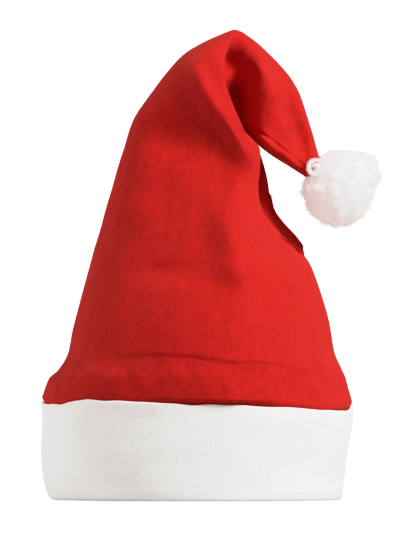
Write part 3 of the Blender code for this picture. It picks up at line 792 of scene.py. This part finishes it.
# The inner skin lies one thickness of felt inside the outer one. Its rows are closer together where the
# felt folds, and it comes nearer where the outer skin turns sharply or comes back to itself.
# least_felt: share of the thickness that stays where it turns sharply. share_of_room: how much of the
# space up to the skin that lies behind it the felt takes. Both are evened out over some rounds.
least_felt = 0.1
share_of_room = 0.3
just_inside = 0.00002
direction_rounds, thickness_rounds = 10, 4
skin_normals = grid_normals(crown_outer)
directions = skin_normals
for _ in range(direction_rounds):
    beside = np.roll(directions, 1, axis=1) + np.roll(directions, -1, axis=1)
    padded = np.concatenate([directions[:1], directions, directions[-1:]])
    directions = 2 * directions + beside + padded[:-2] + padded[2:]
    directions /= np.linalg.norm(directions, axis=2, keepdims=True)
agreement = np.einsum("ijk,ijk->ij", skin_normals, directions)
first_free, fold_first, fold_last, tip_last = 4, 76, 208, 256
lining_rows = [
    *range(first_free, fold_first, 6), *range(fold_first, fold_last, 3), *range(fold_last, tip_last, 5),
]
crown_faces = tube_faces(len(crown_outer), crown_columns)
skin = BVHTree.FromPolygons(crown_outer.reshape(-1, 3).tolist(), crown_faces)
starts, inward = crown_outer[lining_rows], -directions[lining_rows]
thickness = felt * np.clip(agreement[lining_rows], least_felt, 1)
for row, column in np.ndindex(thickness.shape):
    start = Vector(starts[row, column] + inward[row, column] * just_inside)
    room = skin.ray_cast(start, Vector(inward[row, column]), 3 * felt)[3]
    if room is not None:
        thickness[row, column] = min(thickness[row, column], share_of_room * room)
for _ in range(thickness_rounds):
    beside = (np.roll(thickness, 1, axis=1) + np.roll(thickness, -1, axis=1)) / 2
    thickness = np.minimum(thickness, beside)
lining_hem = held_rows(ply + gap + felt, [hem, crown_edge * mid_hem, crown_edge + gap])
crown_lining = np.concatenate([lining_hem, starts + inward * thickness[..., None]])

crown_points = np.concatenate([crown_outer.reshape(-1, 3), crown_lining.reshape(-1, 3)])
lining_first = len(crown_outer) * crown_columns
crown_faces += tube_faces(len(crown_lining), crown_columns, lining_first, inward=True)
crown_faces.append(tuple(range(lining_first - crown_columns, lining_first)))
crown_faces.append(tuple(range(len(crown_points) - crown_columns, len(crown_points)))[::-1])
for column in range(crown_columns):
    beside = (column + 1) % crown_columns
    crown_faces.append((lining_first + column, lining_first + beside, beside, column))
crown = mesh_piece("felt_crown", crown_points, crown_faces, red_felt)
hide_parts("crown")
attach(crown, "root")

# The band is a strip of white felt, folded in two along its lower edge and sewn over the crown's hem.
# Its raw upper edge is cut by hand, so it waves a little and stands off the red felt.
white_felt = felt_material(
    "white_felt",
    colour=(0.95, 0.910, 0.865),
    dark=(0.88, 0.830, 0.775),
    speck=(0.96, 0.94, 0.92),
    sheen=0.25,
    sheen_tint=(1.0, 1.0, 1.0),
)
# Painted light: the white felt is given a faint warm glow that lightens its shaded side, standing in for
# light scattered through the loose fibres.
felt_shader = white_felt.node_tree.nodes["Principled BSDF"]
felt_shader.inputs["Emission Color"].default_value = (1.0, 0.95, 0.91, 1)
felt_shader.inputs["Emission Strength"].default_value = 0.12

# fold_radius: of the lower fold. inner_height: of the inner ply. soft: rounding of the cut edges.
fold_radius = 0.0022
inner_height = 0.051
soft = 0.0009
band_thickness = 2 * ply + felt + 2 * gap
slot_floor = hem_height - gap
cut_waves = Wave(0.022, 11, 0.00035, 1.0)
face_waves = [Wave(0.085, 12, 0.0007, 1.0), Wave(0.026, 13, 0.00022, 1.0)]
most_in, most_out = -0.0012, 0.0016
band_columns = 420
band_angles = crowded_angles(band_columns, 0.0)
band_edge = edge_height(band_angles)
band_edge = band_edge + cut_waves.height * ripple(
    band_points(band_edge, 0, band_angles), cut_waves.size, cut_waves.seed)

# The band's profile from the middle of its lower fold: up the outer ply, over its cut edge, down into the
# slot that holds the crown's hem, up and over the inner ply and down to the fold again.
fold_steps, face_steps, edge_steps = 8, 60, 4
profile = []
for step in range(fold_steps + 1):
    turn = step / fold_steps * math.pi / 2
    height = fold_radius * (1 - math.cos(turn))
    profile.append((fold_radius * (1 - math.sin(turn)), np.full(band_columns, height)))
for step in range(1, face_steps):
    share = step / face_steps
    profile.append((0.0, fold_radius + (band_edge - soft - fold_radius) * share))
for step in range(edge_steps + 1):
    turn = step / edge_steps * math.pi / 2
    profile.append((soft * (1 - math.cos(turn)), band_edge - soft + soft * math.sin(turn)))
for step in range(1, edge_steps + 1):
    turn = step / edge_steps * math.pi / 2
    profile.append((ply - soft * (1 - math.sin(turn)), band_edge - soft + soft * math.cos(turn)))
profile.append((ply, band_edge * mid_hem))
profile.append((ply, np.full(band_columns, slot_floor)))
profile.append((band_thickness - ply, np.full(band_columns, slot_floor)))
profile.append((band_thickness - ply, np.full(band_columns, inner_height - soft)))
profile.append((band_thickness - ply / 2, np.full(band_columns, inner_height)))
profile.append((band_thickness, np.full(band_columns, inner_height - soft)))
for share in (0.8, 0.6, 0.4, 0.2):
    profile.append((band_thickness, np.full(band_columns, inner_height * share)))
for step in range(edge_steps + 1):
    turn = step / edge_steps * math.pi / 2
    height = fold_radius * (1 - math.sin(turn))
    profile.append((band_thickness - fold_radius * (1 - math.cos(turn)), np.full(band_columns, height)))
band_grid = np.array([band_points(height, inset, band_angles) for inset, height in profile])

# The outer ply waves in and out, less near the lower fold and near its cut edge. outer_ply is a part of
# the band's own grid, so the waves go straight into it.
fold_calm, edge_calm = 0.008, 0.010
least_sway = 0.15
outer_ply = band_grid[:fold_steps + face_steps + edge_steps]
sway = sum(ripple(outer_ply, wave.size, wave.seed) * wave.height for wave in face_waves)
above_fold = np.clip(outer_ply[..., 2] / fold_calm, 0, 1)
below_edge = np.clip((band_edge[None, :] - outer_ply[..., 2]) / edge_calm, least_sway, 1)
out = outer_ply - outer_ply.mean(axis=1, keepdims=True)
out[..., 2] = 0
out /= np.linalg.norm(out, axis=2, keepdims=True)
outer_ply += out * (np.clip(sway, most_in, most_out) * above_fold * below_edge)[..., None]
band_faces = tube_faces(len(band_grid), band_columns)
top = (len(band_grid) - 1) * band_columns
for column in range(band_columns):
    beside = (column + 1) % band_columns
    band_faces.append((top + column, top + beside, beside, column))
band = mesh_piece("felt_band", band_grid.reshape(-1, 3), band_faces, white_felt)
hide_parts("band")
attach(band, "root")

# The pompom is a ball of loose white fibre, tied in its middle and sewn to the crown's tip.
# Its matted body has soft lumps, with a curled lock against the red felt and fine strands all over.
pompom_radius = (pompom_high.z - pompom_low.z) / 2
white_fibre, shader, add, links = new_material("white_fibre")
place = add("ShaderNodeTexCoord")
tuft = add("ShaderNodeTexNoise", Scale=170.0, Detail=5.0, Roughness=0.65)
links.new(place.outputs["Object"], tuft.inputs["Vector"])
tone = add("ShaderNodeMix", data_type="RGBA")
tone.inputs["A"].default_value = (0.96, 0.935, 0.915, 1)
tone.inputs["B"].default_value = (0.99, 0.98, 0.97, 1)
tuft_range = add("ShaderNodeMapRange", From_Min=0.36, From_Max=0.60)
links.new(tuft.outputs["Fac"], tuft_range.inputs["Value"])
links.new(tuft_range.outputs["Result"], tone.inputs["Factor"])
links.new(tone.outputs["Result"], shader.inputs["Base Color"])
shader.inputs["Roughness"].default_value = 0.95
shader.inputs["Specular IOR Level"].default_value = 0.12
shader.inputs["Sheen Weight"].default_value = 0.3
shader.inputs["Sheen Roughness"].default_value = 0.6
shader.inputs["Subsurface Weight"].default_value = 1.0
shader.inputs["Subsurface Radius"].default_value = (1.0, 0.9, 0.85)
shader.inputs["Subsurface Scale"].default_value = 0.012
# Painted light: the fibre is given a faint pinkish glow that lightens the pompom's shaded side, standing in
# for light that comes through from behind the loose fibres.
shader.inputs["Emission Color"].default_value = (1.0, 0.84, 0.80, 1)
shader.inputs["Emission Strength"].default_value = 0.20

# The ball's outline seen from the front: degrees from the right, turning upwards, and share of its radius.
# Towards its front and back the ball turns round, at round_share of the radius.
round_share = 0.92
outline = [
    (-180, 0.955), (-167, 0.860), (-156, 0.885), (-139, 0.885), (-120, 0.825), (-96, 0.840), (-83, 0.815),
    (-61, 0.790), (-39, 0.765), (-22, 0.765), (-9, 0.775), (5, 0.815), (14, 0.950), (21, 1.055),
    (33, 1.090), (44, 1.160), (55, 1.110), (65, 1.060), (84, 0.990), (104, 0.985), (120, 0.990),
    (135, 0.940), (153, 0.870), (171, 0.935), (180, 0.955),
]

# Tufts all round the ball: their reach and the width of the creases between them in radians, and their
# height as a share of the radius. The ball is more ragged at the lower left, towards the red felt.
tuft_count = 70
tuft_reach = 0.36
tuft_crease = 0.16
tuft_height = 0.030
bpy.ops.mesh.primitive_ico_sphere_add(subdivisions=6, radius=1.0)
ball = bpy.context.object
directions = np.array([vertex.co for vertex in ball.data.vertices])
directions /= np.linalg.norm(directions, axis=1, keepdims=True)
seen_angle = np.degrees(np.arctan2(directions[:, 2], directions[:, 0]))
side_share = 1 - directions[:, 1] ** 2
shape = np.interp(seen_angle, *zip(*outline))
chance = np.random.default_rng(21)
tufts = chance.normal(size=(tuft_count, 3))
tufts /= np.linalg.norm(tufts, axis=1, keepdims=True)
nearest = np.sort(np.arccos(np.clip(directions @ tufts.T, -1, 1)), axis=1)
lump = np.clip(1 - (nearest[:, 0] / tuft_reach) ** 2, 0, 1)
crease = np.clip((nearest[:, 1] - nearest[:, 0]) / tuft_crease, 0, 1)
ragged = np.clip(-directions[:, 0] * 0.8 - directions[:, 2] * 0.5 + 0.1, 0, 1)
reach = round_share + (shape - round_share) * side_share
reach += tuft_height * (lump * crease - 0.5)
reach += (0.008 + 0.020 * ragged) * ripple(directions, 0.34, 22)
reach += (0.004 + 0.008 * ragged) * ripple(directions, 0.13, 23)
points = directions * reach[:, None] * pompom_radius + np.array(pompom_middle)
ball_faces = [tuple(face.vertices) for face in ball.data.polygons]
bpy.data.objects.remove(ball, do_unlink=True)
pompom = mesh_piece("pompom_ball", points, ball_faces, white_fibre)

# The curled lock winds in on itself a turn and a quarter and is thin at both ends. Sizes in metres, its
# start and length in degrees, lock_closing the share of its reach that it loses on the way in.
lock_centre = pompom_middle + Vector((-0.0165, -0.0135, 0.0135))
lock_reach = 0.0047
lock_closing = 0.72
lock_radius = 0.00125
lock_start, lock_length = 60, 450
lock_points, lock_sides = 34, 10
rows = []
for step in range(lock_points):
    share = step / (lock_points - 1)
    turn = math.radians(lock_start + lock_length * share)
    reach = lock_reach * (1 - lock_closing * share)
    middle = lock_centre + Vector((math.cos(turn) * reach, -0.0006 * share, math.sin(turn) * reach * 1.15))
    outward = Vector((math.cos(turn), 0, math.sin(turn)))
    thick = lock_radius * math.sin(math.pi * (0.08 + 0.87 * share)) ** 0.5
    ring = [math.tau * side / lock_sides for side in range(lock_sides)]
    rows.append([middle + (outward * math.cos(a) + Vector((0, 1, 0)) * math.sin(a)) * thick for a in ring])
lock_faces = tube_faces(lock_points, lock_sides)
lock_faces.append(tuple(range(lock_sides))[::-1])
lock_faces.append(tuple(range((lock_points - 1) * lock_sides, lock_points * lock_sides)))
lock = mesh_piece("pompom_curl", [point for row in rows for point in row], lock_faces, white_fibre)


def strand_tree():
    """A coat of fine strands: random points on a surface, each with a bent three-sided strand.

    Density: strands to a square metre. Length, Width: in metres. Bend: sideways at mid length, as a share
    of the length. Lean: the most that a strand leans over, in radians.
    """
    shortest, longest = 0.55, 1.25
    least_lean = 1.15
    end_width = 0.25
    tree = bpy.data.node_groups.new("strand_coat", "GeometryNodeTree")
    tree.interface.new_socket("Geometry", in_out="INPUT", socket_type="NodeSocketGeometry")
    sizes = (("Density", 1e6), ("Length", 0.005), ("Width", 0.00012), ("Bend", 0.3), ("Lean", 1.2))
    for name, value in sizes:
        socket = tree.interface.new_socket(name, in_out="INPUT", socket_type="NodeSocketFloat")
        socket.default_value = value
    seed = tree.interface.new_socket("Seed", in_out="INPUT", socket_type="NodeSocketInt")
    seed.default_value = 1
    tree.interface.new_socket("Geometry", in_out="OUTPUT", socket_type="NodeSocketGeometry")

    def add(kind, **values):
        node = tree.nodes.new(kind)
        for key, value in values.items():
            setattr(node, key, value)
        return node

    links = tree.links
    given = add("NodeGroupInput")
    scatter = add("GeometryNodeDistributePointsOnFaces")
    links.new(given.outputs["Geometry"], scatter.inputs["Mesh"])
    links.new(given.outputs["Density"], scatter.inputs["Density"])
    links.new(given.outputs["Seed"], scatter.inputs["Seed"])
    arc = add("GeometryNodeCurveQuadraticBezier")
    arc.inputs["Resolution"].default_value = 3
    arc.inputs["Start"].default_value = (0, 0, 0)
    middle = add("ShaderNodeCombineXYZ")
    links.new(given.outputs["Bend"], middle.inputs["X"])
    middle.inputs["Z"].default_value = 0.5
    links.new(middle.outputs["Vector"], arc.inputs["Middle"])
    arc.inputs["End"].default_value = (0, 0, 1)
    thin = add("GeometryNodeSetCurveRadius")
    along = add("GeometryNodeSplineParameter")
    fall = add("ShaderNodeMath", operation="MULTIPLY_ADD")
    links.new(along.outputs["Factor"], fall.inputs[0])
    fall.inputs[1].default_value = end_width - 1.0
    fall.inputs[2].default_value = 1.0
    links.new(arc.outputs["Curve"], thin.inputs["Curve"])
    links.new(fall.outputs["Value"], thin.inputs["Radius"])
    ratio = add("ShaderNodeMath", operation="DIVIDE")
    links.new(given.outputs["Width"], ratio.inputs[0])
    links.new(given.outputs["Length"], ratio.inputs[1])
    round_form = add("GeometryNodeCurvePrimitiveCircle")
    round_form.inputs["Resolution"].default_value = 3
    links.new(ratio.outputs["Value"], round_form.inputs["Radius"])
    strand = add("GeometryNodeCurveToMesh")
    strand.inputs["Fill Caps"].default_value = True
    links.new(thin.outputs["Curve"], strand.inputs["Curve"])
    links.new(round_form.outputs["Curve"], strand.inputs["Profile Curve"])
    plant = add("GeometryNodeInstanceOnPoints")
    links.new(scatter.outputs["Points"], plant.inputs["Points"])
    links.new(strand.outputs["Mesh"], plant.inputs["Instance"])
    links.new(scatter.outputs["Rotation"], plant.inputs["Rotation"])
    size = add("FunctionNodeRandomValue", data_type="FLOAT")
    size.inputs[2].default_value = shortest
    size.inputs[3].default_value = longest
    long = add("ShaderNodeMath", operation="MULTIPLY")
    links.new(size.outputs[1], long.inputs[0])
    links.new(given.outputs["Length"], long.inputs[1])
    links.new(long.outputs["Value"], plant.inputs["Scale"])
    spin = add("FunctionNodeRandomValue", data_type="FLOAT")
    spin.inputs[2].default_value = 0.0
    spin.inputs[3].default_value = math.tau
    tilt = add("FunctionNodeRandomValue", data_type="FLOAT")
    tilt.inputs[2].default_value = least_lean
    links.new(given.outputs["Lean"], tilt.inputs[3])
    for number, node in enumerate((size, spin, tilt)):
        shift = add("ShaderNodeMath", operation="ADD")
        links.new(given.outputs["Seed"], shift.inputs[0])
        shift.inputs[1].default_value = 11.0 * (number + 1)
        links.new(shift.outputs["Value"], node.inputs["Seed"])
    turn = add("ShaderNodeCombineXYZ")
    links.new(spin.outputs[1], turn.inputs["Z"])
    spun = add("GeometryNodeRotateInstances")
    links.new(plant.outputs["Instances"], spun.inputs["Instances"])
    links.new(turn.outputs["Vector"], spun.inputs["Rotation"])
    lean = add("ShaderNodeCombineXYZ")
    links.new(tilt.outputs[1], lean.inputs["X"])
    leant = add("GeometryNodeRotateInstances")
    links.new(spun.outputs["Instances"], leant.inputs["Instances"])
    links.new(lean.outputs["Vector"], leant.inputs["Rotation"])
    real = add("GeometryNodeRealizeInstances")
    links.new(leant.outputs["Instances"], real.inputs["Geometry"])
    dressed = add("GeometryNodeSetMaterial")
    dressed.inputs["Material"].default_value = white_fibre
    links.new(real.outputs["Geometry"], dressed.inputs["Geometry"])
    result = add("NodeGroupOutput")
    links.new(dressed.outputs["Geometry"], result.inputs["Geometry"])
    return tree


def strand_coat(name, base, tree, **inputs):
    """Runs the strand tree on a copy of a piece and keeps the result as a plain mesh."""
    holder = bpy.data.objects.new(name, base.data.copy())
    bpy.context.collection.objects.link(holder)
    coat = holder.modifiers.new("coat", "NODES")
    coat.node_group = tree
    sockets = {item.name: item.identifier for item in tree.interface.items_tree if item.in_out == "INPUT"}
    for key, value in inputs.items():
        coat[sockets[key]] = value
    holder.update_tag()
    depsgraph = bpy.context.evaluated_depsgraph_get()
    mesh = bpy.data.meshes.new_from_object(holder.evaluated_get(depsgraph))
    bpy.data.objects.remove(holder, do_unlink=True)
    mesh.name = name
    item = bpy.data.objects.new(name, mesh)
    bpy.context.collection.objects.link(item)
    return item


# Three coats of strands on the ball, from long to short, and a finer one on the curled lock.
Coat = namedtuple("Coat", "name base density length width lean seed")
coats = [
    Coat("pompom_strands_1", pompom, 1.0e6, 0.0034, 0.00010, 1.60, 1),
    Coat("pompom_strands_2", pompom, 1.0e6, 0.0030, 0.00009, 1.55, 2),
    Coat("pompom_strands_3", pompom, 1.0e6, 0.0022, 0.00009, 1.50, 3),
    Coat("pompom_curl_strands", lock, 4.0e6, 0.0016, 0.00007, 1.60, 4),
]
strands = strand_tree()
strand_pieces = [
    strand_coat(coat.name, coat.base, strands, Density=coat.density, Length=coat.length, Width=coat.width,
                Lean=coat.lean, Seed=coat.seed)
    for coat in coats
]
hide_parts("pompom")
for piece in (pompom, lock, *strand_pieces):
    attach(piece, "root")
